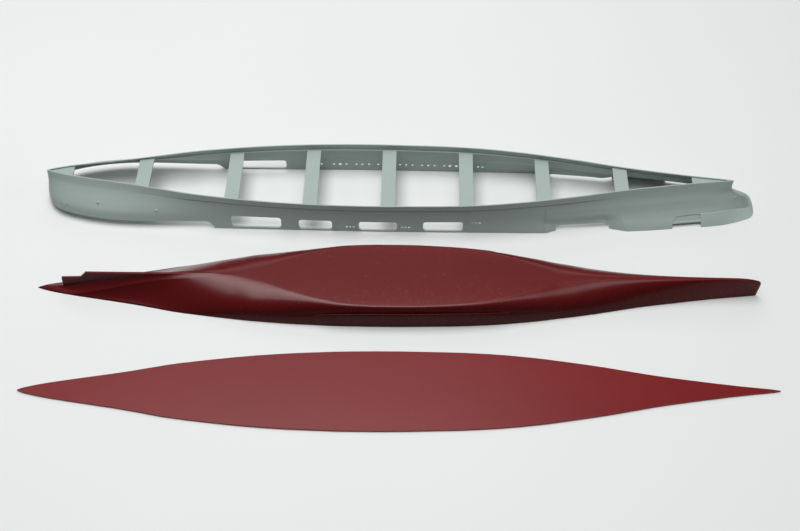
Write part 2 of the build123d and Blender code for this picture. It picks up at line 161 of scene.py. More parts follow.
# ------------------------------------------------------------------ underwater hull skin
def lower_inner_outline(z, count):
    depth = LOWER_DEPTH - LOWER_WALL
    pts = []
    for k in range(601):
        x = 62.0 + k * (349.0 - 62.0) / 600
        y = min(hull_half(x, max(z, 0.0), depth, LOWER_WALL),
                hull_half(x, max(z, 0.0), LOWER_DEPTH) - 0.9)
        pts.append((x, y))
    good = [p for p in pts if p[1] >= 0.6]
    first = max([i + 1 for i in range(len(pts) // 2) if pts[i][1] < 0.6], default=0)
    last = min([i - 1 for i in range(len(pts) // 2, len(pts)) if pts[i][1] < 0.6],
               default=len(pts) - 1)
    good = [(pts[first][0] - 1.0, 0.0)] + pts[first:last + 1] + [(pts[last][0] + 1.0, 0.0)]
    out = []
    for k in range(count + 1):
        share = 0.5 - 0.5 * math.cos(math.pi * k / count)
        x = good[0][0] + (good[-1][0] - good[0][0]) * share
        for (ax, ay), (bx, by) in zip(good, good[1:]):
            if ax <= x <= bx + 1e-9:
                t = (x - ax) / ((bx - ax) or 1)
                out.append((x, ay + (by - ay) * t))
                break
    return out


def build_lower_hull():
    bm = bmesh.new()
    levels, count = 46, 260
    grid = {}
    for side in (-1, 1):
        for j in range(levels + 1):
            z = LOWER_DEPTH * math.sin(math.pi / 2 * j / levels)
            row = []
            for k, (x, y) in enumerate(hull_outline(z, count)):
                if k in (0, count) and side == 1:
                    row.append(grid[(-1, j)][k])
                else:
                    row.append(bm.verts.new(placed(x, side * y, z, LOWER)))
            grid[(side, j)] = row
    for side in (-1, 1):
        for j in range(levels):
            a, b = grid[(side, j)], grid[(side, j + 1)]
            for k in range(count):
                quad = []
                for v in (a[k], a[k + 1], b[k + 1], b[k]):
                    if v not in quad:
                        quad.append(v)
                if len(quad) > 2:
                    bm.faces.new(quad)
    # flat bottom, in strips across
    near, far = grid[(-1, levels)], grid[(1, levels)]
    across = 8
    rows = [near]
    for i in range(1, across):
        t = i / across
        rows.append([near[k] if k in (0, count) else
                     bm.verts.new(near[k].co.lerp(far[k].co, t)) for k in range(count + 1)])
    rows.append(far)
    for a, b in zip(rows, rows[1:]):
        for k in range(count):
            quad = []
            for v in (a[k], a[k + 1], b[k + 1], b[k]):
                if v not in quad:
                    quad.append(v)
            if len(quad) > 2:
                bm.faces.new(quad)
    # hollow inside
    inner_levels, icount = 16, 120
    top = LOWER_DEPTH - LOWER_WALL
    inner = {}
    for side in (-1, 1):
        for j in range(inner_levels + 1):
            z = top * math.sin(math.pi / 2 * j / inner_levels) * 0.995
            row = []
            for k, (x, y) in enumerate(lower_inner_outline(z, icount)):
                if k in (0, icount) and side == 1:
                    row.append(inner[(-1, j)][k])
                else:
                    row.append(bm.verts.new(placed(x, side * y, z, LOWER)))
            inner[(side, j)] = row
    for side in (-1, 1):
        for j in range(inner_levels):
            a, b = inner[(side, j)], inner[(side, j + 1)]
            for k in range(icount):
                quad = []
                for v in (a[k], a[k + 1], b[k + 1], b[k]):
                    if v not in quad:
                        quad.append(v)
                if len(quad) > 2:
                    bm.faces.new(quad)
    near, far = inner[(-1, inner_levels)], inner[(1, inner_levels)]
    for k in range(icount):
        quad = []
        for v in (near[k], near[k + 1], far[k + 1], far[k]):
            if v not in quad:
                quad.append(v)
        if len(quad) > 2:
            bm.faces.new(quad)
    # rim between outside and inside
    outer_loop = grid[(-1, 0)] + grid[(1, 0)][1:-1][::-1]
    inner_loop = inner[(-1, 0)] + inner[(1, 0)][1:-1][::-1]
    edges = []
    for loop in (outer_loop, inner_loop):
        for a, b in zip(loop, loop[1:] + loop[:1]):
            e = bm.edges.get((a, b))
            if e:
                edges.append(e)
    bmesh.ops.triangle_fill(bm, use_beauty=True, edges=edges)
    return link("underwater_hull_skin", bm)


hull_skin = build_lower_hull()
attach(hull_skin, "lower_hull")
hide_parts("lower_hull_shell")


# ------------------------------------------------------------------ upper hull skin
UPPER_HEIGHT = 18.8
LIP_FOOT_Z = 15.5
LIP_THICKNESS = 0.6
LIP_OVERHANG = 0.35
WALL_THICKNESS = 1.0
KNUCKLE_Z = 4.8
UPPER_ROWS = [
    (0, 0, -1.2, 0), (1.0, 0.55, -1.0, 3.2), (2.5, 1.1, -0.1, 6.2),
    (4.5, 1.75, 1.6, 9.3), (7, 2.4, 4.2, 12.2), (11, 3.4, 8.5, 14.9),
    (17, 4.65, 15, 17.2), (25, 6.05, 24, 19.4), (35, 7.75, 35, 21.1),
    (48, 10.05, 48, 22.0), (62, 12.85, 62, 22.2), (76, 15.6, 77, 22.2),
    (90, 17.6, 92, 22.2), (106, 19.5, 108, 22.3), (124, 21.1, 127, 22.45),
    (145, 22.2, 148, 22.65), (168, 22.65, 172, 22.8), (190, 22.4, 195, 22.75),
    (212, 21.8, 217, 22.55), (232, 20.4, 238, 22.4), (250, 18.15, 257, 22.2),
    (266, 15.5, 273, 21.8), (281, 12.8, 289, 21.1), (296, 9.7, 304, 20.0),
    (311, 7.0, 319, 18.7), (325, 4.8, 333, 17.0), (337, 3.05, 345, 15.1),
    (346.5, 1.85, 354.5, 13.45), (353, 1.05, 361.5, 11.5), (357, 0.5, 366.6, 9.5),
    (358.6, 0.25, 370.0, 7.6), (359.0, 0.1, 371.7, 4.6), (359.1, 0, 372.2, 0),
]
DECK_JOG = [(261.8, 0), (266.7, 1.8), (280, 2.0), (291, 2.2), (295.2, 2.5), (304.4, 0)]
JOG_STATIONS = [257.0, 259.5, 261.2, 262.2, 263.4, 264.8, 266.0, 267.0, 268.6, 272.0,
                277.0, 283.0, 289.0, 293.0, 294.8, 296.0, 298.0, 300.5, 302.8, 304.2,
                305.6, 308.5]
FLARE_LOW = [
    (0.0, 1.0, 1.0, 1.0, 1.0), (2.0, 1.0, 0.87, 0.955, 0.85),
    (4.1, 1.0, 0.70, 0.905, 0.72), (4.8, 0.98, 0.64, 0.885, 0.68)]
FLARE_HIGH = [
    (4.8, 0.98, 0.64, 0.885, 0.68), (7.0, 0.91, 0.49, 0.78, 0.5),
    (8.3, 0.84, 0.42, 0.66, 0.45), (9.5, 0.74, 0.36, 0.473, 0.45),
    (10.8, 0.62, 0.30, 0.25, 0.45), (12.0, 0.5, 0.235, 0.07, 0.5),
    (13.2, 0.38, 0.175, 0.0, 0.7), (15.5, 0.18, 0.09, -0.02, 1.0),
    (18.8, 0.0, 0.0, 0.0, 1.0)]
LOW = [curve_table(FLARE_LOW, c) for c in (1, 2, 3, 4)]
HIGH = [curve_table(FLARE_HIGH, c) for c in (1, 2, 3, 4)]
jog_of = curve_table(DECK_JOG)


def dense(points, steps=6):
    out = []
    last = len(points) - 1
    for i in range(last):
        p0, p1, p2, p3 = (points[max(i - 1, 0)], points[i], points[i + 1],
                          points[min(i + 2, last)])
        for k in range(steps):
            t = k / steps
            out.append(tuple(
                0.5 * (2 * b + (c - a) * t + (2 * a - 5 * b + 4 * c - d) * t * t
                       + (3 * b - a - 3 * c + d) * t ** 3)
                for a, b, c, d in zip(p0, p1, p2, p3)))
    out.append(points[last])
    return out


def upper_rows():
    rows = sorted(dense(UPPER_ROWS, 10), key=lambda row: row[2])
    base = [row for row in UPPER_ROWS if not 255 < row[2] < 311]
    extra = []
    for at in JOG_STATIONS:
        for low, high in zip(rows, rows[1:]):
            if low[2] <= at <= high[2] and high[2] > low[2]:
                t = (at - low[2]) / (high[2] - low[2])
                extra.append(tuple(a + (b - a) * t for a, b in zip(low, high)))
                break
    return ([row for row in base if row[2] < 255] + extra
            + [row for row in base if row[2] > 255])


UPPER_ALL = upper_rows()


def table_at(rows, at):
    if at <= rows[0][0]:
        return rows[0][1]
    for low, high in zip(rows, rows[1:]):
        if at <= high[0]:
            share = (at - low[0]) / (high[0] - low[0])
            return low[1] + share * (high[1] - low[1])
    return rows[-1][1]


def upper_outline(z, pull=0.0):
    stern, side, stem, nose = (f(z) for f in (LOW if z < KNUCKLE_Z else HIGH))
    jog_share = 1 - smooth((z - 3.0) / 5.0)
    out = []
    for rx, ry, dx, dy in UPPER_ALL:
        body = side + (stern - side) * (1 - smooth((rx - 20) / 140))
        along = body + (stem - body) * smooth((rx - 340) / 18)
        across = body * (1 - (1 - nose) * smooth((rx - 349) / 8))
        x, y = rx + (dx - rx) * along, ry + (dy - ry) * across
        if 261.8 < dx < 304.4:
            y -= table_at(DECK_JOG, dx) * jog_share
        if pull:
            y -= min(pull * smooth((rx - 55) / 25) * (1 - smooth((rx - 280) / 25)), y * 0.5)
        out.append((x, max(y, 0.0)))
    return out


def rounded(points):
    """Dense half outline, breadth never under zero, ends on the centreline."""
    out = [(x, max(y, 0.0)) for x, y in dense(points)]
    out[0] = (out[0][0], 0.0)
    out[-1] = (out[-1][0], 0.0)
    for i in range(1, len(out) - 1):
        if out[i][1] < 0.02:
            out[i] = (out[i][0], 0.02)
    return out


def inset(points, distance, steps=8):
    curve = dense(points, steps)
    moved = []
    for i, (x, y) in enumerate(curve):
        ax, ay = curve[max(i - 1, 0)]
        bx, by = curve[min(i + 1, len(curve) - 1)]
        dx, dy = bx - ax, by - ay
        length = math.hypot(dx, dy) or 1.0
        moved.append((x + dy / length * distance, y - dx / length * distance))
    middle = len(moved) // 2
    start = max((i for i in range(middle) if moved[i][1] <= 0.02), default=0)
    end = min((i for i in range(middle, len(moved)) if moved[i][1] <= 0.02),
              default=len(moved) - 1)
    kept = moved[start:end + 1]
    kept[0] = (kept[0][0], 0.0)
    kept[-1] = (kept[-1][0], 0.0)
    return kept


def resample(points, count):
    run = [0.0]
    for (ax, ay), (bx, by) in zip(points, points[1:]):
        run.append(run[-1] + math.hypot(bx - ax, by - ay))
    out = []
    j = 0
    for k in range(count):
        share = 0.5 - 0.5 * math.cos(math.pi * k / (count - 1))
        share = 0.5 * share + 0.5 * k / (count - 1)
        target = share * run[-1]
        while j < len(run) - 2 and run[j + 1] < target:
            j += 1
        step = (run[j + 1] - run[j]) or 1.0
        t = (target - run[j]) / step
        (ax, ay), (bx, by) = points[j], points[j + 1]
        out.append((ax + (bx - ax) * t, ay + (by - ay) * t))
    return out


def wall_pull(z):
    return LIP_OVERHANG * smooth(z / 9)


def knuckle_drop(x, z):
    """The knuckle falls away towards the nose; the shell above it stretches to follow."""
    low = KNUCKLE_Z * (1 - 0.62 * smooth((x - 354) / 17))
    if z <= KNUCKLE_Z:
        return z * low / KNUCKLE_Z
    if z >= 9.0:
        return z
    return low + (z - KNUCKLE_Z) * (9.0 - low) / (9.0 - KNUCKLE_Z)


def rings(bm, outlines, origin, drop=None):
    """Stacked closed loops: [(z, half outline)] -> the vertex rows and the faces between."""
    rows = []
    drop = drop or (lambda x, z: z)
    for z, half in outlines:
        near = [bm.verts.new(placed(x, -y, drop(x, z), origin)) for x, y in half]
        far = [bm.verts.new(placed(x, y, drop(x, z), origin)) for x, y in half[1:-1]]
        rows.append(near + far[::-1])
    for a, b in zip(rows, rows[1:]):
        n = len(a)
        for k in range(n):
            bm.faces.new((a[k], a[(k + 1) % n], b[(k + 1) % n], b[k]))
    return rows


def fill_between(bm, *loops):
    edges = []
    for loop in loops:
        for a, b in zip(loop, loop[1:] + loop[:1]):
            e = bm.edges.get((a, b))
            if e and e not in edges:
                edges.append(e)
    bmesh.ops.triangle_fill(bm, use_beauty=True, edges=edges)


def spread(a, b, n):
    return [a + (b - a) * i / n for i in range(n + 1)]


# the lip's face leans out towards its top amidships, which leaves its foot in shade
def lip_outline(z):
    t = (z - LIP_FOOT_Z) / (UPPER_HEIGHT - LIP_FOOT_Z)
    return upper_outline(z, 0.10 * (1 - t))


def wall_thickness(z):
    """The wall thins towards the deck edge, where the recesses and portholes are."""
    return 0.62 + (WALL_THICKNESS - 0.62) * smooth((z - 8.0) / 3.0)


def bow_band(z, points):
    """Below the knuckle the bow stands proud as a band that flares out to the deck edge."""
    low = 1 - z / KNUCKLE_Z
    out = []
    for x, y in points:
        share = smooth((x - 326) / 30)
        ledge = 0.36 * smooth((x - 341) / 3)
        dy = (ledge + 0.62 * low * share) * smooth(y / 0.6)
        dx = (0.05 + 0.35 * low) * smooth((x - 362) / 10)
        out.append((x + dx, y + dy))
    return out


def build_upper_hull():
    bm = bmesh.new()
    outer = [(z, bow_band(z, rounded(upper_outline(z, wall_pull(z)))))
             for z in spread(0, KNUCKLE_Z - 0.001, 6)]
    outer += [(z, rounded(upper_outline(z, wall_pull(z))))
              for z in [KNUCKLE_Z + 0.03] + spread(KNUCKLE_Z, LIP_FOOT_Z - 0.50, 22)[1:]]
    outer += [(LIP_FOOT_Z - 0.46, rounded(upper_outline(LIP_FOOT_Z - 0.46, LIP_OVERHANG + 0.30))),
              (LIP_FOOT_Z - 0.04, rounded(upper_outline(LIP_FOOT_Z - 0.04, LIP_OVERHANG + 0.30)))]
    outer += [(z, rounded(lip_outline(z))) for z in spread(LIP_FOOT_Z, UPPER_HEIGHT, 5)]
    outer_rows = rings(bm, outer, UPPER, knuckle_drop)
    wall = [(z, resample(inset(upper_outline(z, LIP_OVERHANG), wall_thickness(z)), 150))
            for z in [0, 1.6, 3.2, 4.79] + spread(KNUCKLE_Z, LIP_FOOT_Z, 12)[1:]]
    wall_rows = rings(bm, wall, UPPER, knuckle_drop)
    lip = [(z, resample(inset(upper_outline(z), LIP_THICKNESS), 150))
           for z in spread(LIP_FOOT_Z, UPPER_HEIGHT, 4)]
    lip_rows = rings(bm, lip, UPPER)
    fill_between(bm, outer_rows[0], wall_rows[0])
    fill_between(bm, wall_rows[-1], lip_rows[0])
    fill_between(bm, outer_rows[-1], lip_rows[-1])
    return link("upper_hull_skin", bm)


def prism(bm, outline, y0, y1):
    """A closed prism across the hull from an outline in (station, height)."""
    a = [bm.verts.new(placed(x, y0, z, UPPER)) for x, z in outline]
    b = [bm.verts.new(placed(x, y1, z, UPPER)) for x, z in outline]
    n = len(a)
    bm.faces.new(a)
    bm.faces.new(b[::-1])
    for k in range(n):
        bm.faces.new((a[k], b[k], b[(k + 1) % n], a[(k + 1) % n]))


def rounded_slot(x0, x1, z0, z1, r, steps=7):
    pts = []
    for cx, cz, start in ((x1 - r, z1 - r, 0), (x0 + r, z1 - r, 90),
                          (x0 + r, z0 + r, 180), (x1 - r, z0 + r, 270)):
        for i in range(steps + 1):
            a = math.radians(start + 90 * i / steps)
            pts.append((cx + r * math.cos(a), cz + r * math.sin(a)))
    return pts


STERN_RISE = [(-6, -2), (92, -2), (89.6, 0.1), (88.7, 0.9), (87.6, 2.2), (86.6, 3.4),
              (85.3, 4.0), (83.8, 4.1), (-6, 4.1)]
FORE_STEP = [(266.9, -1), (266.9, 2.9), (295.0, 2.9), (295.0, -1)]
BOW_STEP = [(328.0, -1), (328.0, 1.9), (343.2, 1.9), (343.2, -1)]
BOW_RECESS = [(328.4, 2.45), (329.6, KNUCKLE_Z - 0.35), (343.0, KNUCKLE_Z - 0.1), (343.2, 2.45)]
FAR_NICK = [(265.4, -1), (266.1, 1.9), (267.2, 2.9), (299.5, 2.9), (299.5, -1)]
PORT_SLOTS = [(97.7, 123.8, 1.15, 7.8), (133.0, 150.3, 0.85, 7.0),
              (164.3, 184.1, 0.85, 6.8), (197.7, 218.4, 1.0, 7.1)]
STARBOARD_SLOTS = [(97.9, 123.2, 0.9, 7.5)]
PORT_PORTHOLES = [(157.9, 3.0), (159.7, 3.0), (161.5, 3.0), (186.8, 3.2), (188.6, 3.2),
                  (190.4, 3.2), (223.2, 6.3), (225.1, 6.3), (227.0, 6.3)]
STARBOARD_PORTHOLES = [(x, 4.4) for x in (
    142.3, 149.0, 152.3, 155.8, 161.2, 164.4, 168.0, 173.0, 184.8, 188.1, 191.5,
    196.7, 200.0, 203.5, 208.7, 211.8, 215.3, 227.0, 229.4)]
LARGE_PORTHOLES = (152.3, 212.0, 215.3, 211.8)


def cutter(name, fill):
    bm = bmesh.new()
    fill(bm)
    return link(name, bm, False)


def deck_cuts(bm):
    for cut in (STERN_RISE, BOW_STEP):
        prism(bm, cut, -60, 60)
    prism(bm, FORE_STEP, -60, 0)
    prism(bm, FAR_NICK, 0.001, 60)


def holes(bm):
    for s in PORT_SLOTS:
        prism(bm, rounded_slot(*s, 1.5), -32, -14)
    for s in STARBOARD_SLOTS:
        prism(bm, rounded_slot(*s, 1.5), 14, 32)
    for x, z in PORT_PORTHOLES:
        prism(bm, rounded_slot(x - 0.55, x + 0.55, z - 0.5, z + 0.5, 0.4, 3), -32, -14)
    for x, z in STARBOARD_PORTHOLES:
        r = 0.75 if x in LARGE_PORTHOLES else 0.55
        prism(bm, rounded_slot(x - r, x + r, z - r, z + r, 0.4, 3), 14, 32)


def breadth_at(x, z, pull):
    half = dense(upper_outline(z, pull))
    for (ax, ay), (bx, by) in zip(half, half[1:]):
        if ax <= x <= bx and bx > ax:
            return ay + (by - ay) * (x - ax) / (bx - ax)
    return 20.0


def pockets(bm):
    """Wide shallow bores that thin the wall around each porthole, on its far face."""
    for rows, side in ((PORT_PORTHOLES, -1), (STARBOARD_PORTHOLES, 1)):
        left = min(x for x, z in rows)
        groups = []
        for x, z in rows:
            if groups and x - groups[-1][-1][0] < 2.6 and z == groups[-1][-1][1]:
                groups[-1].append((x, z))
            else:
                groups.append([(x, z)])
        for g in groups:
            x0, x1, z = g[0][0] - 1.15, g[-1][0] + 1.15, g[0][1]
            middle = (x0 + x1) / 2
            if side < 0:
                edge = breadth_at(middle, z, wall_pull(z)) - 0.34
                prism(bm, rounded_slot(x0, x1, z - 1.6, z + 0.9, 0.5, 3), -edge, -14)
            else:
                edge = breadth_at(middle, z, LIP_OVERHANG) - 0.62 + 0.3
                prism(bm, rounded_slot(x0, x1, z - 1.6, z + 0.9, 0.5, 3), edge, 32)


STERN_BRACKETS = [(7.6, 8.1, 6.9, 8.1), (7.6, 9.8, 8.1, 8.65),
                  (11.1, 11.6, 6.7, 7.95), (11.1, 13.2, 7.95, 8.5)]


def recess_box(bm):
    prism(bm, BOW_RECESS, -60, 60)


def bracket_boxes(bm):
    for x0, x1, z0, z1 in STERN_BRACKETS:
        prism(bm, [(x0, z0), (x1, z0), (x1, z1), (x0, z1)], -60, 0)


def recess_core(bm):
    core = [(z, rounded(inset(upper_outline(max(z, 0.0), wall_pull(max(z, 0.0))), 0.5, 1)))
            for z in (-1.0, 0.0, 1.0, 2.0, 3.0, 4.0, KNUCKLE_Z - 0.001, 5.5, 7.0, 8.5, 10.0)]
    rows = rings(bm, core, UPPER)
    fill_between(bm, rows[0])
    fill_between(bm, rows[-1])


def take_away(ob, tool, keep_tool=False):
    mod = ob.modifiers.new("cut", "BOOLEAN")
    mod.operation = "DIFFERENCE"
    mod.solver = "EXACT"
    mod.object = tool
    bpy.context.view_layer.update()
    depsgraph = bpy.context.evaluated_depsgraph_get()
    done = bpy.data.meshes.new_from_object(ob.evaluated_get(depsgraph))
    ob.modifiers.clear()
    old = ob.data
    ob.data = done
    bpy.data.meshes.remove(old)
    if not keep_tool:
        bpy.data.objects.remove(tool)


PANEL_LINES = [132.5, 162.5, 220.2, 261.0]


def line_boxes(bm):
    for x in PANEL_LINES:
        w = 0.20 if x > 250 else 0.12
        prism(bm, [(x - w, 0.4), (x + w, 0.4), (x + w, 14.9), (x - w, 14.9)], -60, 0)


def line_core(bm):
    core = [(z, rounded(inset(upper_outline(max(z, 0.0), wall_pull(max(z, 0.0))), 0.16, 1)))
            for z in [-1.0] + spread(0.0, 16.0, 16)]
    rows = rings(bm, core, UPPER)
    fill_between(bm, rows[0])
    fill_between(bm, rows[-1])


upper_skin = build_upper_hull()
deck_tool = cutter("deck_tool", deck_cuts)
take_away(upper_skin, deck_tool)
recess_tool = cutter("recess_tool", recess_box)
core_tool = cutter("core_tool", recess_core)
take_away(recess_tool, core_tool, True)
take_away(upper_skin, recess_tool)
bracket_tool = cutter("bracket_tool", bracket_boxes)
take_away(bracket_tool, core_tool)
take_away(upper_skin, bracket_tool)
line_tool = cutter("line_tool", line_boxes)
line_keep = cutter("line_keep", line_core)
take_away(line_tool, line_keep)
take_away(upper_skin, line_tool)
pocket_tool = cutter("pocket_tool", pockets)
take_away(upper_skin, pocket_tool)
hole_tool = cutter("hole_tool", holes)
take_away(upper_skin, hole_tool)
bm = bmesh.new()
bm.from_mesh(upper_skin.data)
bmesh.ops.remove_doubles(bm, verts=bm.verts, dist=1e-7)
bmesh.ops.dissolve_degenerate(bm, edges=bm.edges, dist=1e-7)
open_edges = sum(1 for e in bm.edges if len(e.link_faces) != 2)
print("upper skin faces", len(bm.faces), "edges not shared by two faces", open_edges)
for f in bm.faces:
    f.smooth = True
bm.to_mesh(upper_skin.data)
bm.free()
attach(upper_skin, "upper_hull")
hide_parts("port_side_wall", "starboard_side_wall",
            "port_waterline_lip", "starboard_waterline_lip")

# ------------------------------------------------------------------ bilge keels
# (station, breadth, height) of the keel's root on the lower hull's shell
KEEL_ROOT = [(140.71, 20.98, 6.38), (143.67, 21.07, 6.87), (153.50, 21.49, 8.06),
             (168.13, 21.74, 8.83), (182.72, 21.69, 8.95), (197.31, 21.35, 8.87),
             (211.91, 20.73, 8.64), (226.58, 19.60, 7.94), (233.95, 18.82, 7.39),
             (236.91, 18.47, 7.15)]


def bilge_keel(side):
    bm = bmesh.new()
    out, along = Vector((0, 0.64, 0.77)), Vector((0, -0.77, 0.64))
    curve = dense([Vector(p) for p in KEEL_ROOT], 8)
    rows = []
    for p in curve:
        p = Vector(p)
        tall = 0.95 * smooth((p.x - 140.7) / 9) * smooth((236.9 - p.x) / 9) + 0.05
        rows.append([p - out * 0.55 - along * 0.28, p + out * tall * 0.9 - along * 0.22,
                     p + out * tall - along * 0.12, p + out * tall + along * 0.12,
                     p + out * tall * 0.9 + along * 0.22, p - out * 0.55 + along * 0.28])
    made = [[bm.verts.new(placed(p.x, p.y * side, p.z, LOWER)) for p in row] for row in rows]
    bm.faces.new(made[0])
    bm.faces.new(made[-1][::-1])
    for a, b in zip(made, made[1:]):
        for i in range(6):
            bm.faces.new((a[i], a[(i + 1) % 6], b[(i + 1) % 6], b[i]))
    name = "port" if side < 0 else "starboard"
    keel = link(f"{name}_bilge_keel_fin", bm, False)
    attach(keel, "lower_hull")
    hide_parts(f"{name}_bilge_keel")
    return keel


keels = [bilge_keel(side) for side in (-1, 1)]

# ------------------------------------------------------------------ small moulded marks
def side_point(x, z, out):
    y = breadth_at(x, z, wall_pull(z))
    ahead = breadth_at(x + 1, z, wall_pull(z)) - breadth_at(x - 1, z, wall_pull(z))
    above = breadth_at(x, z + 0.5, wall_pull(z + 0.5)) - breadth_at(x, z - 0.5, wall_pull(z - 0.5))
    n = Vector((-ahead / 2, 1.0, -above)).normalized()
    return Vector((x, y, z)) + n * out, n


def boss(bm, x, z, radius, height, side):
    """A low dome on the shell plating."""
    centre, n = side_point(x, z, -0.12)
    u = n.cross(Vector((0, 0, 1))).normalized()
    v = n.cross(u)
    rows = []
    for k in range(6):
        a = math.radians(90 * k / 5)
        r, h = radius * math.cos(a), (height + 0.12) * math.sin(a)
        if k == 5:
            rows.append([centre + n * h])
        else:
            rows.append([centre + n * h + (u * math.cos(t) + v * math.sin(t)) * r
                         for t in (2 * math.pi * i / 16 for i in range(16))])
    made = [[bm.verts.new(placed(p.x, p.y * side, p.z, UPPER)) for p in row] for row in rows]
    bm.faces.new(made[0])
    for a, b in zip(made, made[1:]):
        for i in range(16):
            if len(b) == 1:
                bm.faces.new((a[i], a[(i + 1) % 16], b[0]))
            else:
                bm.faces.new((a[i], a[(i + 1) % 16], b[(i + 1) % 16], b[i]))


def strake(bm, x0, z0, x1, z1, width, height, side):
    """A short raised bar lying on the shell from one point to another, ends chamfered."""
    rows = []
    for i in range(5):
        t = i / 4
        end = 0.6 if i in (0, 4) else 1.0
        at, n = side_point(x0 + (x1 - x0) * t, z0 + (z1 - z0) * t, -0.12)
        run = Vector((x1 - x0, 0, z1 - z0)).normalized()
        across = n.cross(run).normalized()
        rows.append([at - across * width, at + across * width,
                     at + across * width * 0.7 + n * (height * end + 0.12),
                     at - across * width * 0.7 + n * (height * end + 0.12)])
    made = [[bm.verts.new(placed(p.x, p.y * side, p.z, UPPER)) for p in row] for row in rows]
    bm.faces.new(made[0])
    bm.faces.new(made[-1][::-1])
    for a, b in zip(made, made[1:]):
        for i in range(4):
            bm.faces.new((a[i], a[(i + 1) % 4], b[(i + 1) % 4], b[i]))


bm = bmesh.new()
for x, z, radius, height in ((28.0, 10.6, 0.95, 0.7), (58.9, 9.3, 0.95, 0.7), (41.5, 7.7, 0.5, 0.3),
                             (361.4, 8.6, 0.6, 0.35)):
    boss(bm, x, z, radius, height, -1)
strake(bm, 72.2, 5.0, 72.2, 6.6, 0.16, 0.3, -1)
strake(bm, 73.6, 5.2, 73.6, 6.8, 0.16, 0.3, -1)
bmesh.ops.recalc_face_normals(bm, faces=bm.faces)
for f in bm.faces:
    f.smooth = True
hull_marks = link("upper_hull_bosses", bm)
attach(hull_marks, "upper_hull")

# ------------------------------------------------------------------ materials
def node_material(name):
    m = bpy.data.materials.new(name)
    m.use_nodes = True
    nt = m.node_tree
    nt.nodes.clear()
    out = nt.nodes.new("ShaderNodeOutputMaterial")
    bsdf = nt.nodes.new("ShaderNodeBsdfPrincipled")
    nt.links.new(bsdf.outputs[0], out.inputs[0])
    co = nt.nodes.new("ShaderNodeTexCoord")
    return m, nt, bsdf, co


def noise(nt, co, scale, detail=3.0, rough=0.5, stretch=(1, 1, 1), where=None):
    mp = nt.nodes.new("ShaderNodeMapping")
    mp.inputs["Scale"].default_value = stretch
    nt.links.new(co.outputs["Object"], mp.inputs["Vector"])
    n = nt.nodes.new("ShaderNodeTexNoise")
    n.inputs["Scale"].default_value = scale
    n.inputs["Detail"].default_value = detail
    n.inputs["Roughness"].default_value = rough
    nt.links.new(mp.outputs[0], n.inputs["Vector"])
    return n.outputs["Fac"]


def ramp(nt, fac, stops):
    r = nt.nodes.new("ShaderNodeValToRGB")
    r.color_ramp.elements[0].position = stops[0][0]
    r.color_ramp.elements[0].color = (*stops[0][1], 1)
    r.color_ramp.elements[1].position = stops[-1][0]
    r.color_ramp.elements[1].color = (*stops[-1][1], 1)
    for p, c in stops[1:-1]:
        e = r.color_ramp.elements.new(p)
        e.color = (*c, 1)
    nt.links.new(fac, r.inputs[0])
    return r.outputs[0]


def mix(nt, fac, a, b, kind="MIX"):
    n = nt.nodes.new("ShaderNodeMix")
    n.data_type = "RGBA"
    n.blend_type = kind
    for i, v in ((0, fac), (6, a), (7, b)):
        if hasattr(v, "links") or hasattr(v, "is_linked"):
            nt.links.new(v, n.inputs[i])
        elif isinstance(v, tuple):
            n.inputs[i].default_value = (*v, 1)
        else:
            n.inputs[i].default_value = v
    return n.outputs[2]


def maths(nt, kind, a, b=None, c=None, clamp=False):
    n = nt.nodes.new("ShaderNodeMath")
    n.operation = kind
    n.use_clamp = clamp
    for i, v in enumerate((a, b, c)):
        if v is None:
            continue
        if hasattr(v, "is_linked"):
            nt.links.new(v, n.inputs[i])
        else:
            n.inputs[i].default_value = v
    return n.outputs[0]


def map_range(nt, v, a, b, c, d):
    n = nt.nodes.new("ShaderNodeMapRange")
    nt.links.new(v, n.inputs[0])
    for i, x in enumerate((a, b, c, d)):
        n.inputs[i + 1].default_value = x
    return n.outputs[0]


def bump(nt, bsdf, layers):
    last = None
    for height, strength, distance in layers:
        b = nt.nodes.new("ShaderNodeBump")
        b.inputs["Strength"].default_value = strength
        b.inputs["Distance"].default_value = distance
        nt.links.new(height, b.inputs["Height"])
        if last is not None:
            nt.links.new(last, b.inputs["Normal"])
        last = b.outputs[0]
    nt.links.new(last, bsdf.inputs["Normal"])


